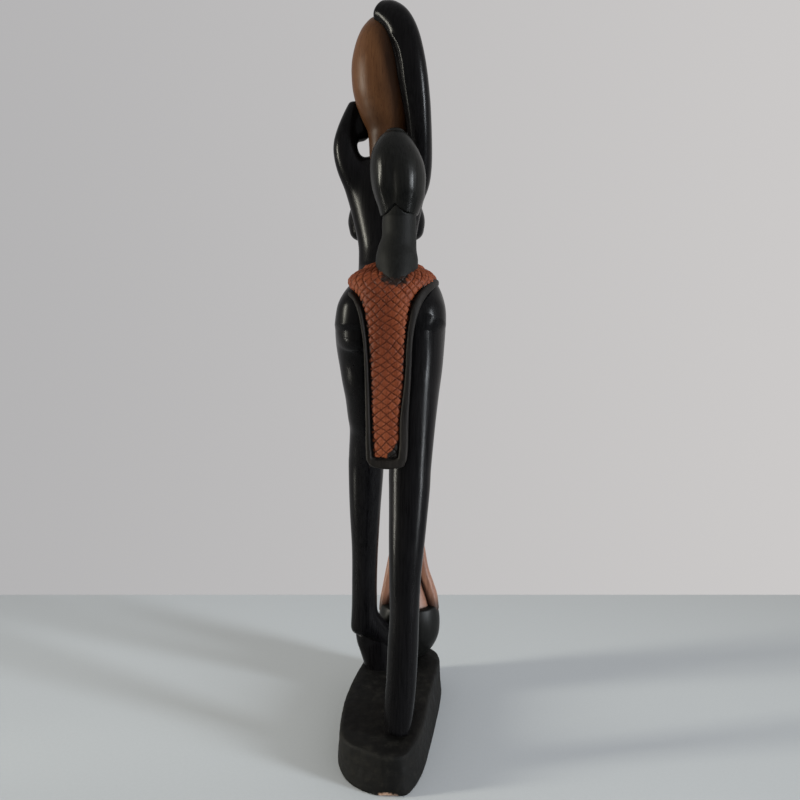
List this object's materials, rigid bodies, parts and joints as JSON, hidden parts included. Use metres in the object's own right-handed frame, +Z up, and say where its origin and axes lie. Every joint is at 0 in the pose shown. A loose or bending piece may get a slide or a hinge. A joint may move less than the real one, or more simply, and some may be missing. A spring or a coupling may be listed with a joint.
{
  "type": "carved figure",
  "caption": "Tall carved wooden figure of a woman lifting a calabash overhead, child in a wrap on her back, gourd beside her foot, on an oblong base",
  "frame": {"origin": "centre of the base's underside, where the figure rests", "axes": "+Z up along the figure's height, +Y the way the woman faces and along the base's long side, +X to her right"},
  "size_m": [0.0767, 0.1534, 0.4839],
  "materials": {
    "base_wood": "matte dark stain, slightly rough",
    "black_wood": "ebony black, polished to a gloss",
    "child_wood": "black stain, satin",
    "border_wood": "black stain, satin",
    "brown_wood": "natural red-brown, polished",
    "wrap_wood": "natural red-brown, carved with a diamond pattern",
    "gourd_black_wood": "black stain, satin"
  },
  "bodies": {
    "root": {"base_slab": "base_wood", "left_foot_block": "base_wood", "right_leg": "black_wood", "right_foot": "black_wood", "left_leg": "black_wood", "left_foot": "black_wood", "pelvis": "black_wood", "torso": "black_wood", "left_breast": "black_wood", "right_breast": "black_wood", "neck": "black_wood", "head": "black_wood", "right_arm": "black_wood", "right_hand": "black_wood", "left_arm": "black_wood", "left_hand": "black_wood", "carried_jar": "brown_wood", "child_head": "child_wood", "child_neck": "child_wood", "wrap_bundle": "wrap_wood", "wrap_panel": "wrap_wood", "wrap_border": "border_wood", "gourd_bowl": "gourd_black_wood", "gourd_neck": "brown_wood", "gourd_strap": "brown_wood"}
  },
  "joints": []
}
